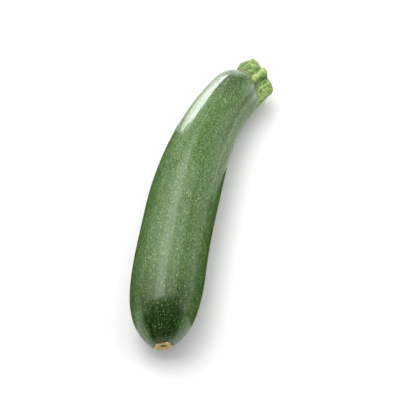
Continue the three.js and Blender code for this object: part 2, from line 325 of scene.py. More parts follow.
class FruitBody:
    """The bent round body: its centre line, girth and skin, all as functions of whole arrays."""

    def __init__(self, size):
        self.size = size
        self.length = size.length
        steps = (np.arange(CENTRE_STEPS) + 0.5) / CENTRE_STEPS
        angle = self.heading(steps)
        step = self.length / CENTRE_STEPS
        self.s = np.linspace(0, self.length, CENTRE_STEPS + 1)
        self.x = np.concatenate([[0], np.cumsum(np.sin(angle) * step)])
        self.y = np.concatenate([[0], np.cumsum(np.cos(angle) * step)])
        self.shift = np.zeros(3)
        self.shift[:2] = self.place_on_frame()

    def heading(self, u):
        """Direction of the centre line from +Y towards +X: an even turn, plus one that grows with the
        fourth power of the share u, minus one that fades out just past the blossom end."""
        fade = np.clip(1 - u / TIP_TURN_SHARE, 0, 1)
        return (self.size.heading_start + self.size.heading_linear * u
                + self.size.heading_neck * u ** NECK_POWER - self.size.tip_turn * fade ** 2)

    def centre(self, s):
        """Points of the centre line; its height sinks as the girth narrows, so belly and neck both rest."""
        u = s / self.length
        fade = np.clip(1 - u / TIP_TURN_SHARE, 0, 1)
        drop = (self.size.belly_radius - self.size.neck_radius) * smooth(*TAPER, u)
        z = self.size.belly_radius - self.size.rest_depth - drop - TIP_DROOP * fade ** 2
        before = np.minimum(s, 0)
        x = np.interp(s, self.s, self.x) + before * math.sin(self.heading(0))
        y = np.interp(s, self.s, self.y) + before * math.cos(self.heading(0))
        return np.stack(np.broadcast_arrays(x, y, z), -1) + self.shift

    def side(self, s):
        """Level unit vector square to the centre line, towards the right flank."""
        angle = self.heading(np.clip(s / self.length, 0, 1))
        return np.stack([np.cos(angle), -np.sin(angle), np.zeros_like(angle)], -1)

    def girth(self, s):
        """Radius without relief: belly narrowing to the neck, times the rounding of each end. Each
        rounding is (1 - (1 - t)^p)^(1/q), a superellipse."""
        size = self.size
        body = size.belly_radius - (size.belly_radius - size.neck_radius) * smooth(*TAPER, s / self.length)
        tip = np.clip((s + TIP_OVERRUN) / (TIP_LENGTH + TIP_OVERRUN), 0, 1)
        blossom_end = (1 - (1 - tip) ** TIP_FULLNESS) ** (1 / TIP_ROUNDNESS)
        over = np.clip((s - (self.length - CROWN_LENGTH)) / CROWN_LENGTH, 0, 1)
        crown = (1 - over ** CROWN_ROUNDNESS) ** (1 / CROWN_ROUNDNESS)
        return body * blossom_end * crown

    def ribbing(self, s, turn):
        """Five soft ribs: 1 plus a share times the cosine of five times the turn."""
        u = s / self.length
        depth = (RIB_BELLY + (RIB_NECK - RIB_BELLY) * smooth(RIB_NECK_FROM, 1, u)
                 + (RIB_TIP - RIB_BELLY) * (1 - smooth(0, TIP_TURN_SHARE, u)))
        return 1 + depth * np.cos(RIB_COUNT * (turn - RIB_ANGLE))

    def relief(self, s, turn):
        """Fine relief in metres: slow dents, lengthwise lines on the neck, a crease along its right
        side, ridges that run from the stalk's ribs over the shoulder, and furrows that meet at the
        blossom scar. Each is a sum of cosines or bell curves, faded in and out along the fruit."""
        u = s / self.length
        dents = (np.cos(2 * turn + 9 * u + 0.7) * np.cos(13 * u + 0.4)
                 + np.cos(3 * turn - 14 * u + 2.1) + 0.8 * np.cos(4 * turn + 23 * u + 1.3)
                 + 0.5 * np.cos(7 * turn - 31 * u + 0.2))
        lines = np.cos(19 * turn + 0.8 * np.sin(26 * u) + 0.5) + 0.6 * np.cos(33 * turn + 5 * u)
        ridge = (0.5 + 0.5 * np.cos(RIB_COUNT * (turn - RIB_ANGLE))) ** 3
        furrows = np.cos(2 * RIB_COUNT * turn + 1.2) + 0.7 * np.cos(17 * turn)
        crease = bell(turn - CREASE_ANGLE, 0.10) - 0.9 * bell(turn - CREASE_GROOVE_ANGLE, 0.08)
        return (DENTS * dents * smooth(0, 0.1, u)
                + LINES * lines * (0.3 + 0.7 * smooth(0.5, 0.9, u))
                + CREASE * crease * smooth(0.55, 0.72, u) * (1 - smooth(0.94, 1, u))
                + SHOULDER_RIDGES * ridge * smooth(0.86, 0.96, u)
                + TIP_FURROWS * furrows * bell(s - 3 * MM, 5 * MM)
                - SKIN_INSET)

    def skin(self, s, turn):
        """Points of the skin: the centre, plus the radius along the side and up; nothing goes underground."""
        radius = np.maximum(self.girth(s) * self.ribbing(s, turn) + self.relief(s, turn), 0)
        out = self.centre(s)
        out = out + self.side(s) * (radius * np.cos(turn))[..., None]
        out = out + UP * (radius * np.sin(turn))[..., None]
        out[..., 2] = np.maximum(out[..., 2], 0)
        return out, radius

    def depth_inside(self, points):
        """How deep points near the crown lie under the skin: the girth less the distance from the
        centre line, both in the cross-section that a point lies in."""
        s = np.linspace(self.length * SHOULDER_FROM, self.length, SHOULDER_STEPS)
        centre, side = self.centre(s), self.side(s)
        along = np.cross(UP, side)
        ahead = np.einsum("...k,nk->...n", points, along) - (centre * along).sum(-1)
        k = np.abs(ahead).argmin(-1)
        away = points - centre[k]
        across = (away * side[k]).sum(-1)
        distance = np.hypot(across, away[..., 2])
        turn = np.arctan2(away[..., 2], across)
        skin = self.girth(s[k]) * self.ribbing(s[k], turn) + self.relief(s[k], turn)
        beyond = np.maximum(ahead[..., -1], 0)
        return skin - distance - beyond

    def place_on_frame(self):
        """Level shift that puts the formula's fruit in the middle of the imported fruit's box."""
        low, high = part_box("fruit")
        s, turn = np.meshgrid(ring_places(self.length, *COARSE_RINGS),
                              np.arange(COARSE_SIDES) * 2 * math.pi / COARSE_SIDES, indexing="ij")
        radius = self.girth(s) * self.ribbing(s, turn)
        points = self.centre(s) + self.side(s) * (radius * np.cos(turn))[..., None]
        middle = 0.5 * (points.min((0, 1)) + points.max((0, 1)))
        return np.array([0.5 * (low.x + high.x), 0.5 * (low.y + high.y)]) - middle[:2]


def ring_places(length, tip_rings, body_rings, crown_rings):
    """Places of the rings along the fruit, closer together where the ends round over."""
    crown_start = length - CROWN_LENGTH
    tip = FRUIT_START + (TIP_LENGTH - FRUIT_START) * (np.arange(tip_rings) / tip_rings) ** 2
    body = TIP_LENGTH + (crown_start - TIP_LENGTH) * np.arange(body_rings) / body_rings
    crown = crown_start + CROWN_LENGTH * np.sin(np.arange(crown_rings) / crown_rings * math.pi / 2)
    return np.concatenate([tip, body, crown])


def closed_surface(name, points, first, last, straight, first_straight, last_straight, extra=()):
    """Makes a mesh from a grid of rings and two poles. The grid is rings by sides; the quads join each
    ring to the next and wrap round, and a fan of triangles closes each end. straight holds each point's
    place on the unbent body, and extra further named numbers, for the materials to read."""
    rings, sides = points.shape[:2]
    vertices = np.concatenate([points.reshape(-1, 3), [first], [last]])
    i = np.arange(sides)
    following = (i + 1) % sides
    low = (np.arange(rings - 1) * sides)[:, None]
    quads = np.stack([low + i, low + sides + i, low + sides + following, low + following], -1).reshape(-1, 4)
    first_fan = np.stack([np.full(sides, rings * sides), i, following], -1)
    top = (rings - 1) * sides
    last_fan = np.stack([np.full(sides, rings * sides + 1), top + following, top + i], -1)
    corners = np.concatenate([quads.ravel(), first_fan.ravel(), last_fan.ravel()])
    counts = np.concatenate([np.full(len(quads), 4), np.full(2 * sides, 3)])
    starts = np.concatenate([[0], np.cumsum(counts)[:-1]])

    mesh = bpy.data.meshes.new(name)
    mesh.vertices.add(len(vertices))
    mesh.vertices.foreach_set("co", vertices.astype(np.float32).ravel())
    mesh.loops.add(len(corners))
    mesh.loops.foreach_set("vertex_index", corners.astype(np.int32))
    mesh.polygons.add(len(counts))
    mesh.polygons.foreach_set("loop_start", starts.astype(np.int32))
    mesh.update(calc_edges=True)
    mesh.validate()
    mesh.shade_smooth()
    places = np.concatenate([straight.reshape(-1, 3), [first_straight], [last_straight]])
    attribute = mesh.attributes.new("straight", "FLOAT_VECTOR", "POINT")
    attribute.data.foreach_set("vector", places.astype(np.float32).ravel())
    for label, values, first_value, last_value in extra:
        numbers = np.concatenate([values.ravel(), [first_value, last_value]])
        attribute = mesh.attributes.new(label, "FLOAT", "POINT")
        attribute.data.foreach_set("value", numbers.astype(np.float32))
    piece = bpy.data.objects.new(name, mesh)
    bpy.context.scene.collection.objects.link(piece)
    return piece


def round_place(radius, turn, s):
    """Place on the unbent body: radius and turn as a level circle, and the distance as the height."""
    x, y = radius * np.cos(turn), radius * np.sin(turn)
    return np.stack([x, y, np.broadcast_to(s, x.shape)], -1)


def fruit_piece(size):
    """The skin: rings of the body with its relief; the poles lie under the scar and under the stalk."""
    body = FruitBody(size)
    places = ring_places(body.length, TIP_RINGS, BODY_RINGS, CROWN_RINGS)
    s, turn = np.meshgrid(places, np.arange(FRUIT_SIDES) * 2 * math.pi / FRUIT_SIDES, indexing="ij")
    points, radius = body.skin(s, turn)
    start, end = places[0], body.length
    return closed_surface(
        "fruit_skin", points, body.centre(np.array(start)), body.centre(np.array(end)),
        round_place(radius, turn, s), (0, 0, start), (0, 0, end))


def round_bell(turn, angle, reach):
    """Bell curve round the stalk: exp(-(a / reach)^2), where a is the angle away in degrees."""
    away = (np.degrees(turn) - angle + 180) % 360 - 180
    return bell(away, reach)


def stalk_piece(size, look):
    """The stalk: a ribbed column from under the skin up to the oblique cut, then over the cut face to
    its middle. Its radius is the ribs' radius, less the groove's depth times a power of a squared sine
    with five valleys, plus lobes in bell curves round it and fine lengthwise ridges."""
    body = FruitBody(size)
    along = np.array([math.sin(STALK_HEADING), math.cos(STALK_HEADING), STALK_CLIMB])
    side = np.array([math.cos(STALK_HEADING), -math.sin(STALK_HEADING), 0])
    foot = body.centre(np.array(STALK_AT)) + side * STALK_SHIFT - UP * STALK_SINK
    turn = np.arange(STALK_SIDES) * 2 * math.pi / STALK_SIDES
    from_rib = turn - RIB_ANGLE - math.radians(GROOVE_TURN) * round_bell(turn, GROOVE_AT, GROOVE_REACH)
    outline = np.array(STALK_OUTLINE) * MM
    lean = STALK_SKEW * np.cos(turn - math.radians(BROAD_LOBE_ANGLE))

    def valley(power):
        return np.abs(np.sin(0.5 * RIB_COUNT * from_rib)) ** power

    def column_radius(distance):
        ribs = spline_through(outline, distance)
        share = smooth(0, look.length, distance)
        depth = look.groove_foot + (look.groove_cut - look.groove_foot) * share
        opening, closing = smooth(0, STALK_MIDDLE, distance), smooth(STALK_MIDDLE, look.length, distance)
        lobes = sum((at_foot + (at_middle - at_foot) * opening + (at_cut - at_middle) * closing)
                    * round_bell(turn, angle, reach)
                    for angle, reach, at_foot, at_middle, at_cut in STALK_LOBES)
        fibres = (0.10 * np.cos(25 * from_rib + 0.4) + 0.08 * np.cos(40 * from_rib + 2)
                  + 0.05 * np.cos(65 * from_rib + 120 * distance + 1))
        knobs = 0.14 * np.cos(11 * from_rib + 900 * distance) * np.cos(7 * from_rib - 700 * distance)
        return (ribs * (1 - depth * valley(GROOVE_SHARPNESS)) + lobes * MM
                + (fibres + knobs - 0.1) * MM * smooth(-1 * MM, 2 * MM, distance))

    def place(distance, radius, shrink=1.0):
        reach = distance + lean * np.clip(distance / look.length, 0, 1) * shrink
        out = foot + along * reach[..., None]
        out = out + side * (radius * np.cos(turn))[..., None]
        return out + UP * (radius * np.sin(turn))[..., None]

    trial = np.linspace(-7 * MM, 12 * MM, 191)[:, None] + 0 * turn
    inside = body.depth_inside(place(trial, column_radius(trial))) > 0.5 * MM
    last_inside = len(trial) - 1 - inside[::-1].argmax(0)
    begin = trial[last_inside, np.arange(STALK_SIDES)]
    begin = smooth_round(begin, 5)

    top = look.length - STALK_TOP_INSET
    t = (np.arange(STALK_RINGS + 1) / STALK_RINGS)[:, None]
    distance = begin + (top - begin) * t
    radius = column_radius(distance)
    rim = radius[-1]
    q = np.linspace(0, 1, CUT_RINGS)[1:-1, None]
    shrink = 1 - q
    rounding = np.sqrt(np.clip(1 - (1 - np.clip(q / CUT_RIM, 0, 1)) ** 2, 0, 1))
    hollow = CUT_HOLLOW * smooth(0.12, 0.75, q) + CUT_MIDDLE * smooth(0.8, 0.97, q)
    marks = CUT_MARKS * np.cos(rim * shrink * np.cos(turn + 0.6) * 9000) * smooth(0.03, 0.2, q)
    cut_distance = top + CUT_RISE * rounding - hollow + marks
    cut_radius = rim * shrink
    points = np.concatenate([place(distance, radius), place(cut_distance + 0 * turn, cut_radius, shrink)])
    all_radius = np.concatenate([radius, cut_radius])
    all_distance = np.concatenate([distance, cut_distance + 0 * turn])
    crests = np.broadcast_to(1 - valley(CREST_BREADTH), all_radius.shape)
    cut_share = np.concatenate([np.zeros_like(radius), q + 0 * turn])
    above_foot = np.concatenate([distance - begin, cut_distance - begin])
    bottom = foot + along * (begin.min() - 0.5 * MM)
    middle = foot + along * (top - CUT_HOLLOW)
    return closed_surface(
        "stalk_stump", points, bottom, middle, round_place(all_radius, turn, all_distance),
        (0, 0, begin.min()), (0, 0, top),
        extra=(("crest", crests, 0, 0), ("cut", cut_share, 0, 1), ("above_foot", above_foot, 0, 0)))


def spline_through(outline, distance):
    """Smooth curve through an outline's points: cubic pieces whose slopes are those of the chords
    between the neighbouring points."""
    x, y = outline[:, 0], outline[:, 1]
    slope = np.gradient(y, x)
    k = np.clip(np.searchsorted(x, distance) - 1, 0, len(x) - 2)
    width = x[k + 1] - x[k]
    t = np.clip((distance - x[k]) / width, 0, 1)
    start, end = (1 + 2 * t) * (1 - t) ** 2, t * t * (3 - 2 * t)
    lean = t * (1 - t) ** 2 * slope[k] - t * t * (1 - t) * slope[k + 1]
    return start * y[k] + end * y[k + 1] + width * lean


def smooth_round(values, reach):
    """Mean of each value and its neighbours round a closed ring."""
    return sum(np.roll(values, k) for k in range(-reach, reach + 1)) / (2 * reach + 1)


def scar_piece(size, look):
    """The scar: a thin disc whose back lies in the skin. Its outline has five blunt uneven corners, a
    ridge runs from each corner to the middle, and the middle is a small hollow."""
    body = FruitBody(size)
    turn = np.arange(SCAR_SIDES) * 2 * math.pi / SCAR_SIDES
    corner = np.cos(RIB_COUNT * turn + 1)
    outline = look.radius * (0.98 + 0.06 * corner + 0.03 * np.cos(3 * turn + 2) + 0.03 * np.cos(11 * turn)
                             + 0.02 * np.cos(23 * turn + 1))
    q = np.linspace(0, 1, SCAR_RINGS)[:-1, None]
    edge = np.clip(q / SCAR_RIM, 0, 1)
    face = 1 - (q - SCAR_RIM) / (1 - SCAR_RIM)
    share = np.where(q < SCAR_RIM, 0.97 + 0.03 * np.sin(edge * math.pi / 2), face)
    height = (SCAR_SWELL * smooth(0, 0.22, q) - SCAR_DIP * smooth(0.3, 0.62, q)
              - SCAR_HOLLOW * smooth(0.8, 0.95, q))
    ridge = np.broadcast_to((0.5 + 0.5 * corner) ** 2, (len(q), SCAR_SIDES))
    ridges = SCAR_RIDGES * ridge * smooth(0.15, 0.35, q) * (1 - smooth(0.7, 0.9, q))
    crumbs = SCAR_CRUMBS * np.cos(31 * turn + 40 * q) * np.cos(19 * turn - 33 * q + 1) * smooth(0.05, 0.2, q)
    s = (SCAR_SEAT - height - ridges - crumbs) * MM
    radius = outline * share
    points = (body.centre(s) + body.side(np.zeros_like(s)) * (radius * np.cos(turn))[..., None]
              + UP * (radius * np.sin(turn))[..., None])
    back = body.centre(np.array(SCAR_BACK))
    middle = body.centre(np.array(SCAR_MIDDLE))
    inward = np.broadcast_to(q, radius.shape)
    straight = round_place(radius, turn, s)
    return closed_surface(
        "blossom_scar_cork", points[::-1], middle, back, straight[::-1], (0, 0, 0), (0, 0, 0),
        extra=(("inward", inward[::-1], 1, 0), ("ridge", ridge[::-1], 0, 0)))


class Finish:
    """A node material and short calls that add its nodes."""

    def __init__(self, name):
        self.material = bpy.data.materials.new(name)
        self.material.use_nodes = True
        self.tree = self.material.node_tree
        self.tree.nodes.clear()
        self.output = self.add("ShaderNodeOutputMaterial")

    def add(self, kind, inputs=None, **settings):
        """Adds a node, sets its options, and fills its sockets with values or other sockets."""
        node = self.tree.nodes.new(kind)
        for key, value in settings.items():
            setattr(node, key, value)
        for socket, value in (inputs or {}).items():
            if isinstance(value, bpy.types.NodeSocket):
                self.tree.links.new(value, node.inputs[socket])
            else:
                node.inputs[socket].default_value = value
        return node

    def attribute(self, name):
        return self.add("ShaderNodeAttribute", attribute_name=name)

    def math(self, operation, a, b=0.0):
        return self.add("ShaderNodeMath", {0: a, 1: b}, operation=operation).outputs[0]

    def times(self, a, b):
        return self.math("MULTIPLY", a, b)

    def plus(self, a, b):
        return self.math("ADD", a, b)

    def minus(self, a, b):
        return self.math("SUBTRACT", a, b)

    def vector(self, operation, a, b=(0, 0, 0)):
        return self.add("ShaderNodeVectorMath", {0: a, 1: b}, operation=operation).outputs[0]

    def steps(self, value, low, high, out_low=0.0, out_high=1.0):
        """Smooth step of a value from one range to another."""
        node = self.add("ShaderNodeMapRange", {"Value": value, "From Min": low, "From Max": high,
                                               "To Min": out_low, "To Max": out_high},
                        interpolation_type="SMOOTHSTEP")
        return node.outputs[0]

    def mix(self, factor, a, b):
        """Colour from a to b by the factor; either may be a socket or three numbers."""
        a, b = [c if isinstance(c, bpy.types.NodeSocket) else opaque(c) for c in (a, b)]
        return self.add("ShaderNodeMix", {0: factor, 6: a, 7: b}, data_type="RGBA").outputs[2]

    def noise(self, vector, scale, detail=2.0, roughness=0.5):
        return self.add("ShaderNodeTexNoise", {"Vector": vector, "Scale": scale, "Detail": detail,
                                               "Roughness": roughness}).outputs[0]

    def cells(self, vector, scale):
        return self.add("ShaderNodeTexVoronoi", {"Vector": vector, "Scale": scale})

    def bump(self, height, distance, strength=1.0, below=None):
        inputs = {"Height": height, "Distance": distance, "Strength": strength}
        if below is not None:
            inputs["Normal"] = below
        return self.add("ShaderNodeBump", inputs).outputs[0]

    def surface(self, inputs):
        shader = self.add("ShaderNodeBsdfPrincipled", inputs)
        self.tree.links.new(shader.outputs[0], self.output.inputs["Surface"])
        return self.material


def opaque(colour):
    """Colour with full cover; a setting's colour is turned into plain numbers."""
    return (*colour, 1.0)


def skin_material(look, length):
    """Waxy skin: dark green, lighter towards the neck, with faint lengthwise streaks and a dense fine
    speckle. The speckle is made of three sizes of cells of scattered points, drawn out lengthwise, with
    a pale fleck of random size and strength round each point."""
    f = Finish("courgette_skin")
    place = f.attribute("straight").outputs["Vector"]
    parts = f.add("ShaderNodeSeparateXYZ", {0: place})
    share = f.math("DIVIDE", parts.outputs[2], length)
    level = f.add("ShaderNodeCombineXYZ", {0: parts.outputs[0], 1: parts.outputs[1], 2: 0.0}).outputs[0]
    direction = f.vector("NORMALIZE", level)
    round_parts = f.add("ShaderNodeSeparateXYZ", {0: direction})
    streak_place = f.add("ShaderNodeCombineXYZ", {0: round_parts.outputs[0], 1: round_parts.outputs[1],
                                                  2: f.math("MULTIPLY", share, 0.9)}).outputs[0]

    clouds = f.noise(place, 90, 3, 0.55)
    streaks = f.noise(streak_place, 7.0, 3, 0.6)
    fine_streaks = f.noise(streak_place, 24.0, 3, 0.6)
    to_neck = f.steps(share, 0.1, 0.9)
    angle = f.math("ARCTAN2", parts.outputs[1], parts.outputs[0])
    # Darker blossom end: partly the skin's deeper green, partly painted shade. The top of the tip, which
    # faces away from the lights, keeps the darkest green; its sides are lighter
    shaded_tip_top = f.times(f.steps(angle, *TIP_SHADE_LEFT), f.steps(angle, *TIP_SHADE_RIGHT))
    from_tip = f.steps(share, 0.05, 0.25)
    from_tip = f.math("MAXIMUM", from_tip, f.times(f.minus(1.0, shaded_tip_top), 0.85))

    ground = f.mix(from_tip, look.dark, look.middle)
    ground = f.mix(f.times(to_neck, 0.7), ground, look.neck)
    deep = f.times(f.times(f.steps(angle, 1.1, 1.5), f.steps(angle, 2.45, 2.1)),
                   f.times(f.steps(share, 0.83, 0.89), f.steps(share, 0.99, 0.95)))
    ground = f.mix(f.times(deep, 0.8), ground, look.dark)
    lighter = f.times(f.plus(from_tip, 0.15), 0.9)
    for pattern, low, high, strength in ((clouds, 0.3, 0.7, 0.22), (streaks, 0.42, 0.66, 0.25),
                                         (fine_streaks, 0.46, 0.66, 0.35)):
        ground = f.mix(f.times(f.steps(pattern, low, high, 0.0, strength), lighter), ground, look.neck)

    stretched = f.vector("MULTIPLY", place, (1.0, 1.0, 0.5))
    mottle = f.noise(stretched, 1300, 3, 0.7)
    ground = f.mix(f.steps(mottle, 0.52, 0.36, 0.0, 0.55), ground, look.dark)
    pale_grain = f.times(f.steps(mottle, 0.52, 0.66, 0.0, 0.16), from_tip)
    ground = f.mix(pale_grain, ground, look.fleck)

    def flecks(spacing, small, large, weak, strong, seed):
        """Round spots, one in each cell, whose reach and strength differ from cell to cell."""
        cell = f.cells(f.vector("ADD", stretched, (seed, 0, 0)), 1 / spacing)
        chance = f.add("ShaderNodeSeparateColor", {0: cell.outputs["Color"]})
        reach = f.steps(chance.outputs[0], 0.0, 1.0, small, large)
        spot = f.steps(f.math("DIVIDE", cell.outputs["Distance"], reach), 1.15, 0.5)
        return f.times(spot, f.steps(chance.outputs[1], 0.0, 1.0, weak, strong))

    bright = flecks(look.fleck_size, 0.12, 0.3, 0.3, 1.0, 0.0)
    middling = flecks(look.fleck_size * 0.66, 0.2, 0.46, 0.2, 0.9, 0.37)
    fine = flecks(look.fleck_size * 0.45, 0.25, 0.55, 0.15, 0.8, 0.71)
    density = f.steps(f.noise(place, 200, 3, 0.6), 0.3, 0.7, 0.6, 1.0)
    shown = f.times(density, f.steps(from_tip, 0.0, 1.0, look.fleck_tip, 1.0))
    fleck = f.mix(from_tip, TIP_FLECK, look.fleck)
    colour = f.mix(f.times(fine, f.times(shown, 0.55)), ground, fleck)
    colour = f.mix(f.times(middling, f.times(shown, 0.8)), colour, fleck)
    bright = f.times(bright, f.steps(from_tip, 0.0, 0.6, 0.75, 0.78))
    colour = f.mix(bright, colour, fleck)

    # Painted bounce light: the lower flanks of the belly and tip are tinted yellow-green
    low_flank_bounce = f.times(f.steps(round_parts.outputs[1], 0.5, 0.1), f.steps(share, 0.8, 0.6))
    colour = f.mix(f.times(low_flank_bounce, 0.6), colour, LOW_FLANK_BOUNCE)
    # Painted sheen: pale grey on the right flank of the neck and on the shoulder stands in for the reflection
    # of the pale room
    flank = f.times(f.steps(angle, 0.68, 0.60), f.steps(angle, -0.5, 0.1))
    flank = f.times(flank, f.steps(share, 0.55, 0.8, 0.0, 0.10))
    shoulder = f.times(f.steps(angle, 1.35, 0.7), f.steps(angle, -0.6, 0.0))
    shoulder = f.times(shoulder, f.steps(share, 0.87, 0.95, 0.0, 0.5))
    from_patch = f.add("ShaderNodeVectorMath", {0: f.vector("SUBTRACT", place, BLOOM_PATCH)},
                       operation="LENGTH").outputs["Value"]
    patch = f.times(f.steps(from_patch, 6 * MM, 2.5 * MM), 0.6)
    # The pale grey joins the painted sheen with the patch of wax bloom
    bloom_and_sheen = f.math("MAXIMUM", f.math("MAXIMUM", flank, shoulder), patch)
    bloom_and_sheen = f.times(bloom_and_sheen, f.steps(clouds, 0.2, 0.6, 0.5, 1.0))
    colour = f.mix(bloom_and_sheen, colour, look.bloom_and_sheen)
    # Painted shade: the groove beside the crease on the neck's right side is darkened
    from_furrow = f.math("ABSOLUTE", f.minus(angle, FURROW_SHADE_ANGLE))
    furrow_shade = f.times(f.steps(from_furrow, FURROW_SHADE_WIDTH, 0.0), f.steps(share, 0.6, 0.78))
    colour = f.mix(f.times(furrow_shade, 0.42), colour, look.dark)
    near_scar = f.steps(parts.outputs[2], 3.2 * MM, 1.2 * MM)
    colour = f.mix(f.times(near_scar, 0.6), colour, SCAR_SURROUND)

    rough = f.steps(f.noise(place, 420, 3, 0.6), 0.3, 0.7, look.roughness - 0.04, look.roughness + 0.06)
    rough = f.plus(rough, f.times(bright, 0.1))
    rough = f.plus(rough, f.steps(fine_streaks, 0.35, 0.65, -0.10, 0.09))
    rough = f.plus(rough, f.steps(from_tip, 0.0, 0.7, -0.10, 0.0))
    rough = f.plus(rough, f.steps(f.noise(streak_place, 52, 2, 0.6), 0.4, 0.6, -0.07, 0.05))
    pits = f.plus(f.times(middling, 0.6), f.noise(stretched, 1500, 3, 0.7))
    normal = f.bump(pits, 0.06 * MM, 0.8)
    normal = f.bump(f.noise(streak_place, 38, 3, 0.6), 0.13 * MM, 0.7, normal)
    return f.surface({"Base Color": colour, "Roughness": rough, "Normal": normal,
                      "Coat Weight": 0.55, "Coat Roughness": 0.07, "Coat IOR": 1.45,
                      "Specular IOR Level": 0.4, "Specular Tint": opaque((0.85, 1.0, 0.78))})


def stalk_material(look):
    """Fibrous stalk: dark grooves, green flanks and yellow-green crests by the crest attribute, blotched
    and streaked lengthwise; the cut face runs from a green rim to pale pith with a ring of bundles."""
    f = Finish("stalk_fibre")
    place = f.attribute("straight").outputs["Vector"]
    crest = f.attribute("crest").outputs["Fac"]
    cut = f.attribute("cut").outputs["Fac"]
    above_foot = f.attribute("above_foot").outputs["Fac"]
    parts = f.add("ShaderNodeSeparateXYZ", {0: place})
    stretched = f.vector("MULTIPLY", place, (1.0, 1.0, 0.3))
    fibres = f.noise(stretched, 900, 4, 0.65)
    blotches = f.noise(place, 430, 4, 0.7)
    # Painted shade: the stalk is darkened a little towards its right side and strongly at its far left side
    shaded = f.steps(parts.outputs[0], -4 * MM, 6 * MM, 0.0, 0.25)
    shaded = f.plus(shaded, f.steps(parts.outputs[0], -7 * MM, -13 * MM, 0.0, 0.8))
    lift = f.minus(f.plus(crest, f.steps(blotches, 0.36, 0.64, -0.8, 0.5)), shaded)
    side = f.mix(f.steps(lift, -0.3, 0.3), look.groove, look.flank)
    side = f.mix(f.steps(lift, 0.2, 0.95), side, look.crest)
    side = f.mix(f.steps(fibres, 0.5, 0.72, 0.0, 0.4), side, PALE_FIBRE)
    side = f.mix(f.steps(fibres, 0.46, 0.3, 0.0, 0.3), side, look.groove)
    dots = f.cells(place, 800)
    side = f.mix(f.steps(dots.outputs["Distance"], 0.42, 0.05, 0.0, 0.55), side, STALK_DOT)
    corky = f.times(f.steps(above_foot, 3.4 * MM, 1.0 * MM),
                    f.steps(f.noise(place, 900, 3, 0.7), 0.46, 0.58, 0.0, 0.75))
    side = f.mix(corky, side, CORKY_FOOT)
    dry = f.times(f.steps(parts.outputs[2], look.length - 2.2 * MM, look.length - 0.6 * MM), 0.5)
    side = f.mix(dry, side, DRY_END)

    grain = f.noise(place, 1500, 4, 0.7)
    face = f.mix(f.steps(cut, 0.02, 0.22), look.flank, look.pith)
    face = f.mix(f.steps(grain, 0.4, 0.65, 0.0, 0.5), face, PITH_GRAIN)
    ring = f.times(f.steps(cut, 0.18, 0.3), f.steps(cut, 0.5, 0.36))
    bundles = f.steps(f.cells(place, 520).outputs["Distance"], 0.42, 0.22)
    face = f.mix(f.times(f.times(ring, bundles), 0.75), face, PITH_BUNDLE)
    face = f.mix(f.steps(cut, 0.78, 1.0, 0.0, 0.6), face, PITH_MIDDLE)
    colour = f.mix(f.steps(cut, 0.0, 0.04), side, face)

    height = f.plus(f.times(fibres, 0.7), f.times(grain, 0.3))
    rough = f.steps(blotches, 0.3, 0.7, 0.45, 0.65)
    return f.surface({"Base Color": colour, "Roughness": rough, "Normal": f.bump(height, 0.35 * MM, 0.6),
                      "Specular IOR Level": 0.4})


def scar_material(look):
    """Dry cork: tan with paler ridges, brown furrows and pores, dark at the rim and in the middle."""
    f = Finish("scar_cork")
    place = f.attribute("straight").outputs["Vector"]
    inward = f.attribute("inward").outputs["Fac"]
    ridge = f.attribute("ridge").outputs["Fac"]
    grain = f.noise(place, 1400, 5, 0.65)
    patches = f.noise(place, 420, 3, 0.6)
    colour = f.mix(f.steps(patches, 0.4, 0.6), look.cork, PALE_CORK)
    colour = f.mix(f.steps(grain, 0.5, 0.36, 0.0, 0.75), colour, look.edge)
    rust = f.steps(f.noise(place, 700, 3, 0.6), 0.54, 0.62, 0.0, 0.7)
    colour = f.mix(rust, colour, RUST)
    colour = f.mix(f.times(ridge, 0.45), colour, RIDGE_CORK)
    ragged = f.plus(inward, f.steps(grain, 0.3, 0.7, -0.12, 0.12))
    colour = f.mix(f.steps(ragged, 0.22, 0.08, 0.0, 0.9), colour, SCAR_RIM_BROWN)
    colour = f.mix(f.steps(ragged, 0.62, 0.85, 0.0, 0.85), colour, SCAR_MIDDLE_BROWN)
    return f.surface({"Base Color": colour, "Roughness": 0.85, "Normal": f.bump(grain, 0.3 * MM, 0.8),
                      "Specular IOR Level": 0.25})


def floor_material():
    """Plain pale floor with the faintest cloudiness, so that it isn't quite one flat tone."""
    f = Finish("pale_floor")
    place = f.add("ShaderNodeTexCoord").outputs["Object"]
    tone = f.steps(f.noise(place, 6, 2), 0.3, 0.7)
    colour = f.mix(tone, (0.90, 0.90, 0.90), (0.92, 0.92, 0.92))
    return f.surface({"Base Color": colour, "Roughness": 0.8, "Specular IOR Level": 0.2})


def softbox(name, centre, aim, size, radiance, turned=0.0):
    """An area light of an even brightness: its power is the brightness times pi times its area."""
    data = bpy.data.lights.new(name, "AREA")
    data.shape = "RECTANGLE"
    data.size, data.size_y = size
    data.energy = radiance * math.pi * size[0] * size[1]
    light = bpy.data.objects.new(name, data)
    light.location = centre
    direction = Vector(aim) - Vector(centre)
    light.rotation_euler = direction.to_track_quat("-Z", "Y").to_euler()
    light.rotation_euler.rotate_axis("Z", turned)
    light.visible_camera = False
    bpy.context.scene.collection.objects.link(light)
    return light


def card(name, corners, faces, tones, glow=0.0):
    """A card beside the object that shows only in its reflections: dark, or bright where it glows."""
    mesh = bpy.data.meshes.new(name)
    mesh.from_pydata(corners, [], faces)
    f = Finish(name)
    place = f.add("ShaderNodeTexCoord").outputs["Object"]
    tone = f.steps(f.noise(place, 60, 2), 0.3, 0.7)
    colour = f.mix(tone, *tones)
    mesh.materials.append(f.surface({"Base Color": colour, "Roughness": 0.9, "Specular IOR Level": 0.1,
                                     "Emission Color": colour, "Emission Strength": glow}))
    sheet = bpy.data.objects.new(name, mesh)
    sheet.visible_camera = False
    sheet.visible_diffuse = False
    sheet.visible_shadow = False
    bpy.context.scene.collection.objects.link(sheet)


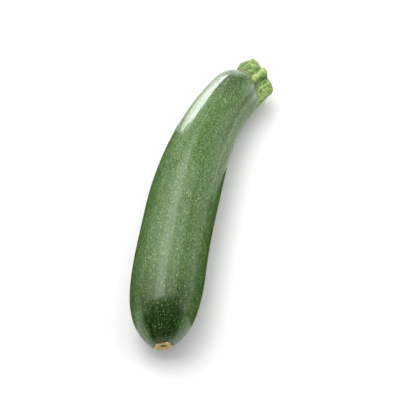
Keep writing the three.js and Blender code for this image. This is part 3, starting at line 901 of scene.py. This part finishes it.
def standing_flag(name, inner, outer, low, high, height):
    """A dark card along the object's side: flat from the inner to the outer place, then upright."""
    corners = [(inner, low, CARD_LEVEL), (inner, high, CARD_LEVEL), (outer, high, CARD_LEVEL),
               (outer, low, CARD_LEVEL), (outer, high, height), (outer, low, height)]
    card(name, corners, [(0, 1, 2, 3), (3, 2, 4, 5)], DARK)


def pale_floor():
    """A large square at the height of the surface that the courgette lies on."""
    half = FLOOR_HALF
    mesh = bpy.data.meshes.new("floor")
    mesh.from_pydata([(-half, -half, 0), (half, -half, 0), (half, half, 0), (-half, half, 0)], [],
                     [(0, 1, 2, 3)])
    mesh.materials.append(floor_material())
    floor = bpy.data.objects.new("floor", mesh)
    bpy.context.scene.collection.objects.link(floor)


def viewing_camera(studio, forward):
    """The camera: back from its target by the distance, at the elevation, level with the horizon."""
    back = -forward * math.cos(studio.elevation) + Vector((0, 0, math.sin(studio.elevation)))
    data = bpy.data.cameras.new("camera")
    data.sensor_width = 36
    data.lens = studio.lens
    data.clip_start = 0.01
    camera = bpy.data.objects.new("camera", data)
    camera.location = Vector(studio.target) + back * studio.distance
    camera.rotation_euler = (-back).to_track_quat("-Z", "Y").to_euler()
    bpy.context.scene.collection.objects.link(camera)
    bpy.context.scene.camera = camera


def room(strength):
    """The room's even light. The camera itself sees plain white in its place."""
    world = bpy.data.worlds.new("room")
    bpy.context.scene.world = world
    world.use_nodes = True
    tree = world.node_tree
    tree.nodes.clear()
    light = tree.nodes.new("ShaderNodeBackground")
    light.inputs["Color"].default_value = (0.93, 0.97, 1.0, 1.0)
    light.inputs["Strength"].default_value = strength
    seen = tree.nodes.new("ShaderNodeBackground")
    seen.inputs["Color"].default_value = (1.0, 1.0, 1.0, 1.0)
    path = tree.nodes.new("ShaderNodeLightPath")
    either = tree.nodes.new("ShaderNodeMixShader")
    output = tree.nodes.new("ShaderNodeOutputWorld")
    tree.links.new(path.outputs["Is Camera Ray"], either.inputs[0])
    tree.links.new(light.outputs[0], either.inputs[1])
    tree.links.new(seen.outputs[0], either.inputs[2])
    tree.links.new(either.outputs[0], output.inputs["Surface"])


class COURGETTE_OT_fruit(bpy.types.Operator):
    """Builds the fruit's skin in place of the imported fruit"""

    bl_idname = "courgette.fruit"
    bl_label = "Fruit"

    def execute(self, context):
        settings = context.scene.courgette
        piece = fruit_piece(settings.fruit)
        piece.data.materials.append(skin_material(settings.skin, settings.fruit.length))
        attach(piece, "root")
        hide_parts("fruit")
        return {"FINISHED"}


class COURGETTE_OT_stalk(bpy.types.Operator):
    """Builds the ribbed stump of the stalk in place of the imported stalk"""

    bl_idname = "courgette.stalk"
    bl_label = "Stalk"

    def execute(self, context):
        settings = context.scene.courgette
        piece = stalk_piece(settings.fruit, settings.stalk)
        piece.data.materials.append(stalk_material(settings.stalk))
        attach(piece, "root")
        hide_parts("stalk")
        return {"FINISHED"}


class COURGETTE_OT_scar(bpy.types.Operator):
    """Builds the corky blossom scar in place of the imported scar"""

    bl_idname = "courgette.scar"
    bl_label = "Blossom scar"

    def execute(self, context):
        settings = context.scene.courgette
        piece = scar_piece(settings.fruit, settings.scar)
        piece.data.materials.append(scar_material(settings.scar))
        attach(piece, "root")
        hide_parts("blossom_scar")
        return {"FINISHED"}


class COURGETTE_OT_studio(bpy.types.Operator):
    """Sets the pale floor, the soft lights and the camera"""

    bl_idname = "courgette.studio"
    bl_label = "Studio"

    def execute(self, context):
        studio = context.scene.courgette.studio
        azimuth = studio.azimuth
        forward = Vector((-math.sin(azimuth), math.cos(azimuth), 0))
        right = Vector((math.cos(azimuth), math.sin(azimuth), 0))
        pale_floor()
        viewing_camera(studio, forward)

        def spot(ahead, aside, up):
            """Place given by how far it lies ahead of the camera's line, to its right, and up."""
            return forward * ahead + right * aside + Vector((0, 0, up))

        down = Vector((0, 0, -1))
        for name, place, size, share in OVERHEAD:
            softbox(name, spot(*place), spot(*place) + down, size, studio.top_light * share, azimuth)
        for name, place, aim, size, share in WALLS:
            softbox(name, spot(*place), spot(*aim), size, studio.walls * share)
        for name, place, aim, size, share in FILLS:
            lamp = softbox(name, spot(*place), spot(*aim), size, studio.fill * share)
            lamp.visible_glossy = False

        for flag in STANDING_FLAGS:
            standing_flag(*flag)
        for name, outline, tones, glow in FLAT_CARDS:
            card(name, [(x, y, CARD_LEVEL) for x, y in outline], [tuple(range(len(outline)))], tones, glow)
        turn, rise = np.radians(STREAK_OUTLINE).T
        around = STREAK_AWAY * np.stack([np.cos(turn), np.sin(turn), np.tan(rise)], -1)
        glowing = [spot(*place) for place in around.tolist()]
        card("back_strip", glowing, [tuple(range(len(glowing)))], PALE, studio.back_light)

        room(studio.surround)
        context.scene.view_settings.view_transform = "Standard"
        return {"FINISHED"}


class COURGETTE_PT_panel(bpy.types.Panel):
    """Lists the pieces and the studio"""

    bl_idname = "COURGETTE_PT_panel"
    bl_label = "Courgette"
    bl_space_type = "VIEW_3D"
    bl_region_type = "UI"
    bl_category = "Courgette"

    def draw(self, context):
        for operator in OPERATORS:
            self.layout.operator(operator.bl_idname)


OPERATORS = (COURGETTE_OT_fruit, COURGETTE_OT_stalk, COURGETTE_OT_scar, COURGETTE_OT_studio)
CLASSES = (FruitSize, SkinLook, StalkLook, ScarLook, StudioSettings, Courgette, *OPERATORS,
           COURGETTE_PT_panel)


def register():
    for item in CLASSES:
        bpy.utils.register_class(item)
    bpy.types.Scene.courgette = bpy.props.PointerProperty(
        type=Courgette, name="Courgette", description="Settings of the courgette")


def unregister():
    del bpy.types.Scene.courgette
    for item in reversed(CLASSES):
        bpy.utils.unregister_class(item)


def main():
    register()
    bpy.ops.courgette.fruit()
    bpy.ops.courgette.stalk()
    bpy.ops.courgette.scar()
    bpy.ops.courgette.studio()


if __name__ == "__main__":
    main()
